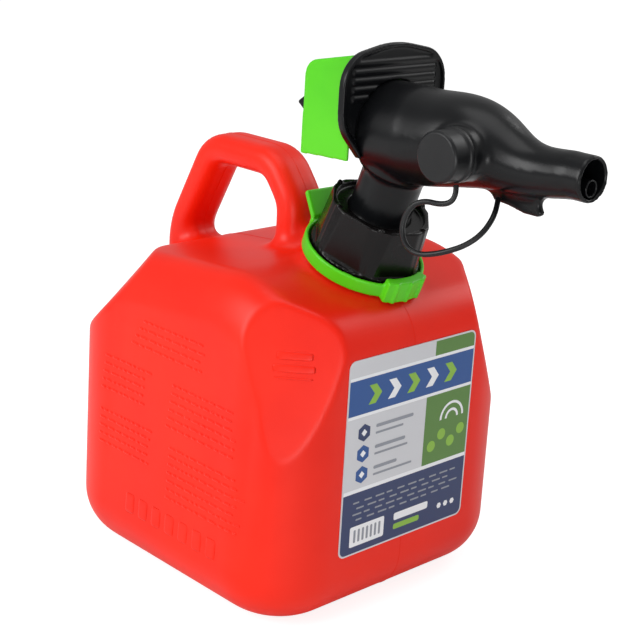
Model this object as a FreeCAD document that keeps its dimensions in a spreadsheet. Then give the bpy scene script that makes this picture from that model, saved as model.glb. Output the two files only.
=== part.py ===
"""Small blow-moulded fuel can with a squeeze-to-pour spout, as separate moving pieces.

Frame: origin at the middle of the base, +X towards the label and the nozzle, +Z up, millimetres.
The neck, its lock ring, the collar and the spout's stem share one axis, tilted forward by neckTilt.
The barrel, the valve and its rod share a second axis, level along +X at the height boreHeight.
"""
import FreeCAD, Part
import math
import os
import re
import Sketcher
from FreeCAD import Placement, Rotation, Vector

X_AXIS = Vector(1, 0, 0)
Y_AXIS = Vector(0, 1, 0)
Z_AXIS = Vector(0, 0, 1)

doc = FreeCAD.newDocument("gas_can")
sheet = doc.addObject("Spreadsheet::Sheet", "sizes")

# ---------------------------------------------------------------- driving dimensions
SIZES = [
    # can body
    ("frontPlace", 91.4, "X of the can's front face"),
    ("rearPlace", -91.4, "X of the can's rear face"),
    ("halfWidth", 87.2, "half the can's width along Y"),
    ("wall", 2.0, "blow-moulded wall"),
    ("frontHeight", 154.0, "height where the front shoulder would meet the front face"),
    ("crestPlace", 42.2, "X where the front shoulder meets the top"),
    ("topRearPlace", -55.7, "X where the top meets the rear slope"),
    ("topRearHeight", 163.8, "height of the top at its rear edge"),
    ("rearHeight", 137.4, "height where the rear slope would meet the rear face"),
    ("frontCorner", 38.0, "rounding of the front upright edges"),
    ("rearCorner", 44.5, "rounding of the rear upright edges"),
    ("baseRound", 27.0, "rounding of the edges round the base"),
    ("edgeRound", 25.9, "rounding of the top's front and rear edges"),
    ("sideRound", 24.0, "rounding of the top's side edges"),
    ("crestRound", 67.2, "rounding across the top of the can"),
    ("frontFacetTurn", 39.9, "how far the front corner facets turn to the side, degrees"),
    ("frontFacetRise", 6.8, "how far the front corner facets lean up, degrees"),
    ("frontFacetCut", 21.5, "how deep the front corner facets cut the shoulder's corners"),
    ("rearFacetTurn", 32.3, "how far the rear corner facets turn to the side, degrees"),
    ("rearFacetRise", 39.0, "how far the rear corner facets lean up, degrees"),
    ("rearFacetCut", 26.4, "how deep the rear corner facets cut the slope's corners"),
    ("facetRound", 5.0, "rounding of the facets' edges"),
    # handle
    ("gripThick", 15.8, "handle thickness in its own plane"),
    ("gripWide", 25.9, "handle width across"),
    ("gripRound", 7.3, "rounding of the handle's section"),
    ("gripTop", 211.1, "height of the handle's top centre line"),
    ("gripRear", -85.8, "X of the rear leg"),
    ("gripFront", 4.0, "X of the front leg"),
    ("gripFoot", 123.0, "height where the legs start, inside the can"),
    ("gripTuck", 3.6, "how far the rear leg's foot is tucked in"),
    ("gripRise", 51.0, "how far below the top the rear leg begins to lean"),
    ("gripLean", 27.6, "how far the rear leg leans forward"),
    ("gripReach", 14.4, "how far behind the front leg the top ends"),
    ("gripDrop", 18.2, "how far the front corner drops"),
    ("gripSweep", 44.0, "bend where the rear leg begins to lean"),
    ("gripBend", 17.0, "bends of the handle's upper corners"),
    # neck
    ("neckTilt", 21.0, "forward tilt of the neck, degrees"),
    ("neckPlace", 50.4, "X of the lock ring's seat centre"),
    ("bossHeight", 2.0, "seat above the shoulder"),
    ("bossRadius", 27.8, "radius of the boss under the lock ring"),
    ("bossRoot", 14.0, "how deep the boss reaches into the shoulder"),
    ("neckRadius", 22.1, "outside radius of the neck"),
    ("neckBore", 18.7, "radius of the filling opening"),
    ("neckLength", 23.0, "neck above the seat"),
    # label
    ("labelWide", 89.9, "label width"),
    ("labelTall", 102.7, "label height"),
    ("labelLow", 36.1, "height of the label's lower edge"),
    ("labelThick", 0.3, "label thickness"),
    ("labelRound", 4.0, "label corner radius"),
    # lock ring
    ("ringRadius", 31.2, "outside radius of the lock ring"),
    ("ringWall", 2.0, "thickness of the ring's band"),
    ("ringHeight", 7.2, "height of the ring's band"),
    ("ringFloor", 1.8, "thickness of the ring's floor"),
    ("tabHeight", 11.5, "height of the front grip tab"),
    ("tabThick", 3.1, "how far the front grip tab stands out"),
    ("tabDrop", 1.2, "how far the front grip tab hangs below the seat"),
    ("tabRib", 1.0, "height of the ribs on the front grip tab"),
    ("tabAngle", 46.0, "angle that the front grip tab spans, degrees"),
    ("leverWide", 22.1, "width of the rear squeeze lever"),
    ("leverReach", 9.4, "how far the lever stands out behind the ring"),
    ("leverTall", 18.2, "height of the lever's tip above the seat"),
    ("leverThick", 2.0, "thickness of the lever"),
    # collar
    ("collarFoot", 3.1, "gap from the seat to the collar's lower edge"),
    ("collarRadius", 28.2, "collar radius at its lower edge"),
    ("collarTopRadius", 25.7, "collar radius at its upper edge"),
    ("collarFlat", 25.9, "distance of a flat from the axis at the lower edge"),
    ("collarTopFlat", 24.6, "distance of a flat from the axis at the upper edge"),
    ("collarSides", 6, "flats round the collar"),
    ("collarTop", 32.6, "height of the collar's upper rim above the seat"),
    ("threadRoom", 1.8, "radial room for the thread between neck and collar"),
    ("collarPlay", 0.4, "play between the collar's web and the flange"),
    ("rimWall", 2.0, "wall of the collar's upper rim"),
    ("webThick", 2.4, "thickness of the collar's web"),
    ("toothCount", 48, "ratchet teeth round the collar"),
    ("toothDeep", 1.1, "depth of a ratchet tooth"),
    ("toothTall", 4.8, "height of a ratchet tooth"),
    ("ribPhase", 17.0, "angle of the first collar rib from the front, degrees"),
    ("ribWide", 1.8, "width of a collar rib"),
    ("nubHigh", 1.2, "how far a rib's nub stands above the rim"),
    # spout
    ("stemRadius", 15.4, "outside radius of the stem"),
    ("stemShort", 17.8, "how far below the barrel's axis the stem's bore ends"),
    ("stemWall", 2.4, "wall of the stem"),
    ("flangeInset", 1.0, "how far the flange stays inside the neck's outside"),
    ("flangeThick", 2.4, "thickness of the stem's flange"),
    ("gasketThick", 1.5, "thickness of the neck gasket"),
    ("gap", 0.1, "clearance between flat seats"),
    ("stemFit", 0.6, "radial room between the stem and the collar's web"),
    ("sleeveWall", 2.4, "thickness of the elbow's sleeve round the stem"),
    ("sleeveLow", 54.7, "start of the sleeve above the seat"),
    ("boreHeight", 241.1, "height of the valve axis"),
    ("barrelRear", 62.4, "X of the barrel's rear end"),
    ("barrelWall", 2.2, "wall of the barrel"),
    ("tipLength", 9.0, "length of the straight tip of the nozzle"),
    ("noseLip", 1.8, "wall at the nozzle's mouth"),
    # hook under the barrel
    ("hookThick", 4.0, "thickness of the hook under the barrel"),
    ("hookPlace", 132.5, "X of the hook's rear end"),
    ("hookLong", 28.0, "length of the hook"),
    ("hookLow", 217.7, "height of the hook's lower edge"),
    # hand guard
    ("guardPlace", 62.4, "X of the guard's rear face"),
    ("guardThick", 2.6, "thickness of the guard"),
    ("guardHalf", 34.6, "half the guard's width"),
    ("guardTop", 283.2, "height of the guard's top"),
    ("guardLow", 226.2, "height of the guard's lower edge"),
    ("guardFoot", 19.2, "half the width of the guard's lower edge"),
    ("guardDrop", 6.8, "how far the guard's top falls to its corners"),
    ("guardCorner", 17.0, "rounding of the guard's upper corners"),
    ("guardBelly", 20.0, "rounding of the guard's lower corners"),
    ("guardCrown", 60.0, "rounding of the guard's top in the middle"),
    ("rimWide", 1.8, "width of the guard's rim"),
    ("rimHigh", 1.6, "how far the rim stands out"),
    ("gripRibs", 5, "finger ribs across the guard"),
    ("gripRibPitch", 4.1, "spacing of the finger ribs"),
    ("gripRibHigh", 1.0, "how far a finger rib stands out"),
    ("armPlace", 15.2, "distance of a guide arm from the middle"),
    ("armThick", 3.0, "thickness of a guide arm"),
    ("armHalf", 2.0, "half the height of a guide arm"),
    ("armRise", 6.7, "height of the guide arms above the valve's axis"),
    ("barbHalf", 4.4, "half the height of a barb"),
    ("barbReach", 7.3, "how far the barbs reach behind the button"),
    # button
    ("buttonRear", 23.0, "X of the button's rear face"),
    ("buttonRake", 1.0, "how far the button's foot reaches behind its rear face"),
    ("buttonFront", 55.2, "X of the button's front edge"),
    ("buttonHalf", 19.2, "half the button's width"),
    ("buttonLow", 223.4, "height of the button's lower edge"),
    ("buttonTop", 275.7, "height of the button's top at the front"),
    ("buttonTopRear", 269.0, "height of the button's top at the rear"),
    ("buttonWall", 2.0, "wall of the button"),
    ("buttonRound", 8.6, "rounding of the button's upper rear edge"),
    ("unlockTravel", 3.5, "how far the button slides down to unlock"),
    ("railThick", 1.6, "thickness of the rails that hold the rod's head"),
    ("slide", 0.3, "clearance between sliding pieces"),
    # valve
    ("rodRadius", 3.0, "radius of the valve rod"),
    ("rodFit", 0.05, "radial clearance of the rod in its bush"),
    ("headHalf", 9.2, "half the width of the rod's head"),
    ("sealSection", 0.92, "radius of the rod seal's section"),
    ("headTall", 13.4, "height of the rod's head"),
    ("headThick", 3.0, "thickness of the rod's head"),
    ("bulkheadThick", 4.0, "thickness of the rear bulkhead"),
    ("bushRadius", 6.0, "outside radius of the rod's bush"),
    ("bushLength", 9.0, "length of the rod's bush"),
    ("seatPlace", 94.1, "X of the valve seat's rear face"),
    ("seatThick", 4.0, "thickness of the valve seat"),
    ("seatBore", 10.1, "radius of the valve seat's opening"),
    ("discRadius", 12.0, "radius of the valve disc"),
    ("discThick", 3.0, "thickness of the valve disc"),
    ("sealThick", 1.5, "thickness of the valve seal"),
    ("springRadius", 6.0, "mean radius of the return spring"),
    ("springWire", 1.2, "wire diameter of the return spring"),
    ("springTurns", 6, "turns of the return spring"),
    ("ventSmall", 2.1, "radius of the vent tube behind the valve"),
    ("ventLarge", 4.1, "radius of the vent tube at the nozzle's mouth"),
    ("ventWall", 0.9, "wall of the vent tube"),
    ("ventLow", 226.2, "height of the vent tube's axis behind the valve"),
    # dust cap
    ("capPlace", 125.2, "X of the parked cap's axis"),
    ("capHeight", 241.7, "height of the parked cap's axis"),
    ("capFace", 34.6, "distance of the cap's face from the middle"),
    ("capLength", 12.1, "length of the cap"),
    ("capRadius", 11.8, "outside radius of the cap"),
    ("capFit", 0.3, "clearance of the cap on the nozzle"),
    ("capTop", 1.6, "thickness of the cap's face"),
    ("capRing", 0.8, "how far the strap's ring stands out from the cap"),
    ("pegFit", 0.3, "clearance of the cap on its peg"),
    ("tetherRadius", 1.3, "radius of the cap's tether"),
]
# the barrel's outline, as stations from the rear to the mouth: X, outside radius, height of the centre
STATIONS = [
    (86.4, 23.3, 241.1),
    (101.8, 22.4, 242.3),
    (117.1, 20.9, 243.6),
    (135.4, 16.8, 241.7),
    (149.8, 12.8, 238.3),
    (166.1, 11.0, 238.6),
    (176.3, 10.4, 239.6),
]
for number, station in enumerate(STATIONS, start=1):
    for word, value in zip(("stationPlace", "stationRadius", "stationHeight"), station):
        SIZES.append((f"{word}_{number}", value, "barrel outline"))

for row, (alias, value, note) in enumerate(SIZES, start=1):
    sheet.set(f"A{row}", note)
    sheet.set(f"B{row}", str(value))
    sheet.setAlias(f"B{row}", alias)
doc.recompute()

ALIAS = re.compile(r"\b(" + "|".join(alias for alias, value, note in SIZES) + r")\b")


def mm(alias):
    """The number in a named cell of the sheet."""
    return float(sheet.get(alias))


def link(formula):
    """A formula in the sheet's names, as an expression that FreeCAD can bind."""
    return ALIAS.sub(r"sizes.\1", formula)


# ---------------------------------------------------------------- helpers
def bind(item, **formulas):
    """Bind an object's properties to formulas in the sheet's names."""
    for name, formula in formulas.items():
        item.setExpression(name, link(formula))
    return item


def primitive(kind, name, where=Placement(), **formulas):
    """A Part primitive with bound sizes, at a place."""
    item = doc.addObject("Part::" + kind, name)
    bind(item, **formulas)
    item.Placement = where
    return item


def block(name, low, high):
    """A box between two corners, each a triple of formulas."""
    item = doc.addObject("Part::Box", name)
    for prop, a, b in zip(("Length", "Width", "Height"), low, high):
        item.setExpression(prop, link(f"({b}) - ({a})"))
    for letter, a in zip("xyz", low):
        item.setExpression("Placement.Base." + letter, link(a))
    return item


def joined(name, *pieces):
    """One solid from several that meet."""
    item = doc.addObject("Part::MultiFuse", name)
    item.Shapes = list(pieces)
    return item


def shared(name, first, second):
    """What two solids have in common."""
    item = doc.addObject("Part::Common", name)
    item.Base = first
    item.Tool = second
    return item


def less(name, base, *tools):
    """A solid with others cut away."""
    for number, tool in enumerate(tools, start=1):
        last = number == len(tools)
        cut = doc.addObject("Part::Cut", name if last else f"{name}_cut{number}")
        cut.Base = base
        cut.Tool = tool
        base = cut
    return base


def outline(body, plane, points, offset=None):
    """A closed sketch on one of the body's own planes, every corner bound to a pair of formulas."""
    sketch = body.newObject("Sketcher::SketchObject", body.Name + "_sketch")
    role = plane + "_Plane"
    support = [feature for feature in body.Origin.OriginFeatures if feature.Role == role][0]
    sketch.AttachmentSupport = [(support, "")]
    sketch.MapMode = "FlatFace"
    if offset:
        sketch.setExpression("AttachmentOffset.Base.z", link(offset))
    count = len(points)
    spots = [Vector(valueOf(across), valueOf(up), 0) for across, up in points]
    for index in range(count):
        sketch.addGeometry(Part.LineSegment(spots[index], spots[(index + 1) % count]), False)
    for index in range(count):
        sketch.addConstraint(Sketcher.Constraint("Coincident", index, 2, (index + 1) % count, 1))
    for index, (across, up) in enumerate(points):
        spot = spots[index]
        for kind, formula, value in (("DistanceX", across, spot.x), ("DistanceY", up, spot.y)):
            number = sketch.addConstraint(Sketcher.Constraint(kind, -1, 1, index, 1, value))
            sketch.setExpression(f"Constraints[{number}]", link(formula))
    return sketch


reader = doc.addObject("App::FeaturePython", "formula_reader")
reader.addProperty("App::PropertyFloat", "Result")


def valueOf(formula):
    """The present value of a formula in the sheet's names."""
    reader.setExpression("Result", link(formula))
    reader.recompute()
    return float(reader.Result)


def padded(name, plane, points, length, where=None, offset=None):
    """A body padded from an outline, evenly to both sides unless it starts at an offset."""
    body = doc.addObject("PartDesign::Body", name)
    sketch = outline(body, plane, points, offset)
    pad = body.newObject("PartDesign::Pad", name + "_pad")
    pad.Profile = sketch
    pad.Midplane = offset is None
    bind(pad, Length=length)
    if where:
        body.Placement = where
    return body


def turned(name, points, where=None):
    """A body turned from an outline of radius and height about its own Z."""
    body = doc.addObject("PartDesign::Body", name)
    sketch = outline(body, "XZ", points)
    turn = body.newObject("PartDesign::Revolution", name + "_turn")
    turn.Profile = sketch
    turn.ReferenceAxis = (sketch, ["V_Axis"])
    turn.Angle = 360
    if where:
        body.Placement = where
    return body


def rounded(body, radius, picks):
    """Round the edges of a body that pass a test."""
    doc.recompute()
    names = [f"Edge{number}" for number, edge in enumerate(body.Shape.Edges, start=1) if picks(edge)]
    base = body.Tip
    fillet = body.newObject("PartDesign::Fillet", body.Name + "_round")
    fillet.Base = (base, names)
    bind(fillet, Radius=radius)
    return body


def finished(item, label):
    """Name a sub-part for its file."""
    item.Label = label
    return item


def near(value, target, slack=0.01):
    """Whether two lengths agree."""
    return abs(value - target) < slack


def neckAt(height, turn=0.0):
    """A place on the neck's axis, above the lock ring's seat."""
    tilt = math.radians(mm("neckTilt"))
    drop = (mm("frontPlace") - mm("neckPlace")) * math.tan(tilt) + mm("bossHeight") / math.cos(tilt)
    seat = Vector(mm("neckPlace"), 0, mm("frontHeight") + drop)
    frame = Placement(seat, Rotation(Y_AXIS, mm("neckTilt")))
    return frame * Placement(Vector(0, 0, height), Rotation(Z_AXIS, turn))


def boreAt(place):
    """A place on the valve's axis, its own Z along +X."""
    return Placement(Vector(place, 0, mm("boreHeight")), Rotation(Y_AXIS, 90))


# ---------------------------------------------------------------- can body
def facetCutter(name, corner, turn, rise, cut):
    """A disc whose lower face is the plane of a facet, cut to a depth below the corner."""
    yaw, lift = math.radians(turn), math.radians(rise)
    normal = Vector(math.cos(lift) * math.cos(yaw), math.cos(lift) * math.sin(yaw), math.sin(lift))
    where = Placement(normal * (normal.dot(corner) - cut), Rotation(Z_AXIS, normal))
    return primitive("Cylinder", name, where, Radius="frontPlace + halfWidth", Height="halfWidth")


def softened(name, base, radius, picks):
    """A solid with the edges that pass a test rounded."""
    doc.recompute()
    item = doc.addObject("Part::Fillet", name)
    item.Base = base
    numbered = enumerate(base.Shape.Edges, start=1)
    item.Edges = [(number, radius, radius) for number, edge in numbered if picks(edge)]
    return item


def isFacet(face):
    """Whether a face is one of the flat corner facets."""
    return isinstance(face.Surface, Part.Plane) and 0.2 < abs(face.normalAt(0, 0).y) < 0.95


def hull(name, inset):
    """The can's closed pillow form, moved inwards by an inset."""
    skin = valueOf(inset)
    shoulder = f"({inset}) / cos(neckTilt)"
    front, rear, half = mm("frontPlace") - skin, mm("rearPlace") + skin, mm("halfWidth") - skin
    plan = padded(name + "_plan", "XY", [
        (f"rearPlace + {inset}", f"-halfWidth + {inset}"),
        (f"frontPlace - {inset}", f"-halfWidth + {inset}"),
        (f"frontPlace - {inset}", f"halfWidth - {inset}"),
        (f"rearPlace + {inset}", f"halfWidth - {inset}"),
    ], "2 * halfWidth", offset=inset)
    for corner, side in (("frontCorner", 1), ("rearCorner", -1)):
        rounded(plan, f"{corner} - {inset}", lambda edge: near(abs(edge.tangentAt(0).z), 1)
                and side * edge.Vertexes[0].X > 0)
    rounded(plan, f"baseRound - {inset}", lambda edge: all(near(point.Z, skin) for point in edge.Vertexes))
    loaf = padded(name + "_loaf", "XZ", [
        (f"rearPlace + {inset}", inset),
        (f"frontPlace - {inset}", inset),
        (f"frontPlace - {inset}", f"frontHeight + ({inset}) * tan(neckTilt) - {shoulder}"),
        ("crestPlace", f"frontHeight + (frontPlace - crestPlace) * tan(neckTilt) - {shoulder}"),
        ("topRearPlace", f"topRearHeight - {inset}"),
        (f"rearPlace + {inset}", f"rearHeight - {inset}"),
    ], f"2 * (halfWidth - {inset})")

    def across(edge):
        return near(abs(edge.Vertexes[0].Y - edge.Vertexes[-1].Y), 2 * half)

    rounded(loaf, f"edgeRound - {inset}", lambda edge: across(edge) and any(
        near(edge.Vertexes[0].X, place) for place in (front, rear)))
    rounded(loaf, f"crestRound - {inset}", lambda edge: across(edge) and any(
        near(edge.Vertexes[0].X, mm(place)) for place in ("crestPlace", "topRearPlace")))
    rounded(loaf, f"sideRound - {inset}", lambda edge: not across(edge) and all(
        near(abs(point.Y), half) for point in edge.Vertexes))
    cutters = []
    for side in (-1, 1):
        tag = "left" if side > 0 else "right"
        corner = Vector(mm("frontPlace"), side * mm("halfWidth"), mm("frontHeight"))
        cutters.append(facetCutter(f"{name}_front_{tag}", corner, side * mm("frontFacetTurn"),
                                   mm("frontFacetRise"), mm("frontFacetCut") + skin))
        corner = Vector(mm("rearPlace"), side * mm("halfWidth"), mm("rearHeight"))
        cutters.append(facetCutter(f"{name}_rear_{tag}", corner, 180 - side * mm("rearFacetTurn"),
                                   mm("rearFacetRise"), mm("rearFacetCut") + skin))
    faceted = less(name + "_faceted", shared(name + "_blank", plan, loaf), *cutters)
    doc.recompute()
    facets = [face for face in faceted.Shape.Faces if isFacet(face)]
    return softened(name, faceted, mm("facetRound"), lambda edge: any(
        edge.isSame(other) for face in facets for other in face.Edges))


def cornerPath(points, radii):
    """A wire of straight runs joined by tangent arcs, one arc at each inner point."""
    edges = []
    start = points[0]
    for before, corner, after, radius in zip(points, points[1:], points[2:], radii):
        back = (before - corner).normalize()
        ahead = (after - corner).normalize()
        half = (math.pi - back.getAngle(ahead)) / 2
        reach = radius * math.tan(half)
        entry, leave = corner + back * reach, corner + ahead * reach
        middle = corner + (back + ahead).normalize() * (radius / math.cos(half) - radius)
        edges.append(Part.LineSegment(start, entry).toShape())
        edges.append(Part.Arc(entry, middle, leave).toShape())
        start = leave
    edges.append(Part.LineSegment(start, points[-1]).toShape())
    return Part.Wire(edges)


def handle(name, inset):
    """The bail-shaped grip, swept from a rounded section along its centre line."""
    rear, front, top, foot = mm("gripRear"), mm("gripFront"), mm("gripTop"), mm("gripFoot")
    start = rear + mm("gripTuck")
    path = cornerPath([
        Vector(start, 0, foot),
        Vector(rear, 0, top - mm("gripRise")),
        Vector(rear + mm("gripLean"), 0, top),
        Vector(front - mm("gripReach"), 0, top),
        Vector(front, 0, top - mm("gripDrop")),
        Vector(front, 0, foot),
    ], [mm("gripSweep"), mm("gripBend"), mm("gripBend"), mm("gripBend")])
    deep, wide = mm("gripThick") - 2 * inset, mm("gripWide") - 2 * inset
    section = Part.makePlane(deep, wide, Vector(start - deep / 2, -wide / 2, foot))
    corner = Part.makeCylinder(mm("gripRound") - inset, 1)
    plate = section.extrude(Vector(0, 0, 1))
    upright = [edge for edge in plate.Edges if near(edge.Length, 1) and not near(edge.Length, deep)]
    slab = plate.makeFillet(mm("gripRound") - inset, upright)
    base = [face for face in slab.Faces if near(face.CenterOfMass.z, foot)][0]
    item = doc.addObject("Part::Feature", name)
    item.Shape = path.makePipeShell([base.OuterWire], True, False)
    return item


outer = hull("can_outer", "0")
inner = hull("can_inner", "wall")
grip = handle("grip_outer", 0.0)
gripHollow = handle("grip_inner", mm("wall"))
root = mm("bossRoot")
boss = primitive("Cylinder", "neck_boss", neckAt(-root), Radius="bossRadius", Height="bossRoot")
neck = primitive("Cylinder", "neck_tube", neckAt(-root), Radius="neckRadius", Height="neckLength + bossRoot")
neckHole = primitive("Cylinder", "neck_hole", neckAt(-2 * root), Radius="neckBore",
                     Height="neckLength + 3 * bossRoot")
can = less("can_shell", joined("can_solid", outer, grip, boss, neck),
           joined("can_space", inner, gripHollow, neckHole))
finished(can, "can_body")

label = padded("label_plate", "YZ", [
    ("-labelWide / 2", "labelLow"),
    ("labelWide / 2", "labelLow"),
    ("labelWide / 2", "labelLow + labelTall"),
    ("-labelWide / 2", "labelLow + labelTall"),
], "labelThick", offset="frontPlace")
rounded(label, "labelRound", lambda edge: near(edge.Length, mm("labelThick")))
finished(label, "front_label")


# ---------------------------------------------------------------- lock ring round the neck
def neckBox(name, height, turn, reach, length, width, tall):
    """A radial bar about the neck's axis, from a reach outwards."""
    where = neckAt(height, turn) * Placement(Vector(reach, -valueOf(width) / 2, 0), Rotation())
    return primitive("Box", name, where, Length=length, Width=width, Height=tall)


def neckSector(name, height, middle, spread, radius, bore, tall):
    """A piece of a ring about the neck's axis, round a middle angle."""
    where = neckAt(height, middle - spread / 2)
    wedge = primitive("Cylinder", name + "_wedge", where, Radius=radius, Height=tall)
    wedge.Angle = spread
    hole = primitive("Cylinder", name + "_hole", where, Radius=bore, Height=tall)
    return less(name, wedge, hole)


band = turned("ring_band", [
    ("neckRadius + slide", "0"),
    ("ringRadius", "0"),
    ("ringRadius", "ringHeight"),
    ("ringRadius - ringWall", "ringHeight"),
    ("ringRadius - ringWall", "ringFloor"),
    ("neckRadius + slide", "ringFloor"),
], neckAt(0))
tab = neckSector("ring_tab", -mm("tabDrop"), 0, mm("tabAngle"), "ringRadius + tabThick",
                 "ringRadius - ringWall", "tabHeight")
tabRibs = [neckBox(f"ring_rib{number}", -mm("tabDrop"), turn, mm("ringRadius"), "tabThick + tabRib",
                   "ribWide", "tabHeight") for number, turn in enumerate((-14, 0, 14), start=1)]
lever = padded("ring_lever", "XZ", [
    ("-ringRadius + ringWall", "ringFloor"),
    ("-ringRadius - gap", "ringFloor"),
    ("-ringRadius - gap", "ringHeight"),
    ("-ringRadius - leverReach", "leverTall - leverThick"),
    ("-ringRadius - leverReach + leverThick / 2", "leverTall"),
    ("-ringRadius - leverReach + leverThick", "leverTall"),
    ("-ringRadius + ringWall", "ringHeight + leverThick"),
], "leverWide", neckAt(0))
pawls = [neckSector(f"ring_pawl{number}", mm("ringFloor"), turn, 7, "ringRadius - ringWall + gap",
                    "collarRadius + slide", "toothTall") for number, turn in enumerate((-60, 120), start=1)]
ring = joined("lock_ring_solid", band, tab, lever, *tabRibs, *pawls)
finished(ring, "lock_ring")

# ---------------------------------------------------------------- stack on the neck's lip, above the seat
GASKET_LOW = "(neckLength + gap)"
FLANGE_LOW = f"({GASKET_LOW} + gasketThick + gap)"
FLANGE_TOP = f"({FLANGE_LOW} + flangeThick)"
WEB_LOW = f"({FLANGE_TOP} + collarPlay)"
WEB_TOP = f"({WEB_LOW} + webThick)"

gasket = turned("gasket_ring", [
    ("neckBore", "0"),
    ("neckRadius - flangeInset", "0"),
    ("neckRadius - flangeInset", "gasketThick"),
    ("neckBore", "gasketThick"),
], neckAt(valueOf(GASKET_LOW)))
finished(gasket, "neck_gasket")

# ---------------------------------------------------------------- collar
BAND_TOP = "(collarFoot + toothTall)"
cone = turned("collar_cone", [
    ("0", "collarFoot"),
    ("collarRadius", "collarFoot"),
    ("collarTopRadius", "collarTop"),
    ("0", "collarTop"),
], neckAt(0))
hexagons = []
for name, height, flat in (("low", "collarFoot", "collarFlat"), ("top", "collarTop", "collarTopFlat")):
    hexagon = primitive("RegularPolygon", "collar_hexagon_" + name, neckAt(mm(height), mm("ribPhase")),
                        Circumradius=f"{flat} / cos(180 / collarSides)", Polygon="collarSides")
    hexagons.append(hexagon)
flats = doc.addObject("Part::Loft", "collar_flats")
flats.Sections = hexagons
flats.Solid = True
flats.Ruled = True
ratchet = turned("collar_ratchet", [
    ("0", "collarFoot"),
    ("collarRadius", "collarFoot"),
    ("collarRadius", BAND_TOP),
    ("0", BAND_TOP),
], neckAt(0))
doc.recompute()
notch = ratchet.newObject("Sketcher::SketchObject", "tooth_sketch")
roles = {feature.Role: feature for feature in ratchet.Origin.OriginFeatures}
notch.AttachmentSupport = [(roles["XY_Plane"], "")]
notch.MapMode = "FlatFace"
radius, deep = mm("collarRadius"), mm("toothDeep")
corners = [Vector(radius - deep, 0, 0), Vector(radius + deep, -deep, 0), Vector(radius + deep, deep, 0)]
for index in range(3):
    notch.addGeometry(Part.LineSegment(corners[index], corners[(index + 1) % 3]), False)
for index in range(3):
    notch.addConstraint(Sketcher.Constraint("Coincident", index, 2, (index + 1) % 3, 1))
NOTCH = [
    ("collarRadius - toothDeep", "0"),
    ("collarRadius + toothDeep", "-toothDeep"),
    ("collarRadius + toothDeep", "toothDeep"),
]
for index, (across, up) in enumerate(NOTCH):
    corner = corners[index]
    for kind, formula, value in (("DistanceX", across, corner.x), ("DistanceY", up, corner.y)):
        number = notch.addConstraint(Sketcher.Constraint(kind, -1, 1, index, 1, value))
        notch.setExpression(f"Constraints[{number}]", link(formula))
pocket = ratchet.newObject("PartDesign::Pocket", "tooth_gap")
pocket.Profile = notch
pocket.Type = "ThroughAll"
pocket.Midplane = True
teeth = ratchet.newObject("PartDesign::PolarPattern", "teeth")
teeth.Originals = [pocket]
teeth.Axis = (roles["Z_Axis"], [""])
teeth.Angle = 360
teeth.setExpression("Occurrences", "sizes.toothCount")
ratchet.Tip = teeth
collarRibs = []
for number in range(int(mm("collarSides"))):
    collarRibs.append(padded(f"collar_rib{number + 1}", "XZ", [
        ("collarTopFlat - rimWall", BAND_TOP),
        ("collarRadius", BAND_TOP),
        ("collarTopRadius + slide", "collarTop"),
        ("collarTopRadius + slide", "collarTop + nubHigh"),
        ("collarTopFlat", "collarTop + nubHigh"),
        ("collarTopFlat - rimWall", "collarTop"),
    ], "ribWide", neckAt(0, mm("ribPhase") + 360 * number / mm("collarSides"))))
collarSpace = turned("collar_space", [
    ("0", "0"),
    ("neckRadius + threadRoom", "0"),
    ("neckRadius + threadRoom", WEB_LOW),
    ("stemRadius + stemFit", WEB_LOW),
    ("stemRadius + stemFit", WEB_TOP),
    ("collarTopFlat - rimWall", WEB_TOP),
    ("collarTopFlat - rimWall", "collarTop + 2 * nubHigh"),
    ("0", "collarTop + 2 * nubHigh"),
], neckAt(0))
collarSolid = joined("collar_solid", shared("collar_body", cone, flats), ratchet, *collarRibs)
collar = less("collar_shell", collarSolid, collarSpace)
finished(collar, "collar_nut")

# ---------------------------------------------------------------- spout: stem, elbow, barrel, hook, cap peg
SEAT_HEIGHT = "(frontHeight + (frontPlace - neckPlace) * tan(neckTilt) + bossHeight / cos(neckTilt))"
ELBOW = f"((boreHeight - {SEAT_HEIGHT}) / cos(neckTilt))"
last = len(STATIONS)


def tapered(name, stations):
    """A smooth loft through circles square to X; each station is place, radius, height."""
    rings = []
    for number, (place, radius, height) in enumerate(stations, start=1):
        where = Placement(Vector(), Rotation(Y_AXIS, 90))
        ring = primitive("Circle", f"{name}_ring{number}", where, Radius=radius)
        ring.setExpression("Placement.Base.x", link(place))
        ring.setExpression("Placement.Base.z", link(height))
        rings.append(ring)
    loft = doc.addObject("Part::Loft", name)
    loft.Sections = rings
    loft.Solid = True
    return loft


def barrelStations(skin, mouthSkin):
    """The barrel's stations, moved inwards by a wall that thins to the mouth."""
    stations = []
    for number in range(1, last + 1):
        wall = mouthSkin if number > last / 2 else skin
        stations.append((f"stationPlace_{number}", f"stationRadius_{number} - {wall}",
                         f"stationHeight_{number}"))
    return stations


stem = primitive("Cylinder", "stem_tube", neckAt(valueOf(FLANGE_LOW)), Radius="stemRadius",
                 Height=f"{ELBOW} - {FLANGE_LOW}")
flange = primitive("Cylinder", "stem_flange", neckAt(valueOf(FLANGE_LOW)),
                   Radius="neckRadius - flangeInset", Height="flangeThick")
sleeve = primitive("Cylinder", "elbow_sleeve", neckAt(mm("sleeveLow")), Radius="stemRadius + sleeveWall",
                   Height=f"{ELBOW} - sleeveLow")
stemHole = primitive("Cylinder", "stem_hole", neckAt(mm("neckLength")), Radius="stemRadius - stemWall",
                     Height=f"{ELBOW} - neckLength - stemShort")
rodRoom = block("rod_room", ("buttonRear", "-guardHalf", "boreHeight - bushRadius - flangeThick - 2 * slide"),
                ("barrelRear", "guardHalf", "boreHeight + guardHalf"))
drum = primitive("Cylinder", "barrel_drum", boreAt(mm("barrelRear")), Radius="stationRadius_1",
                 Height="stationPlace_1 - barrelRear")
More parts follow.
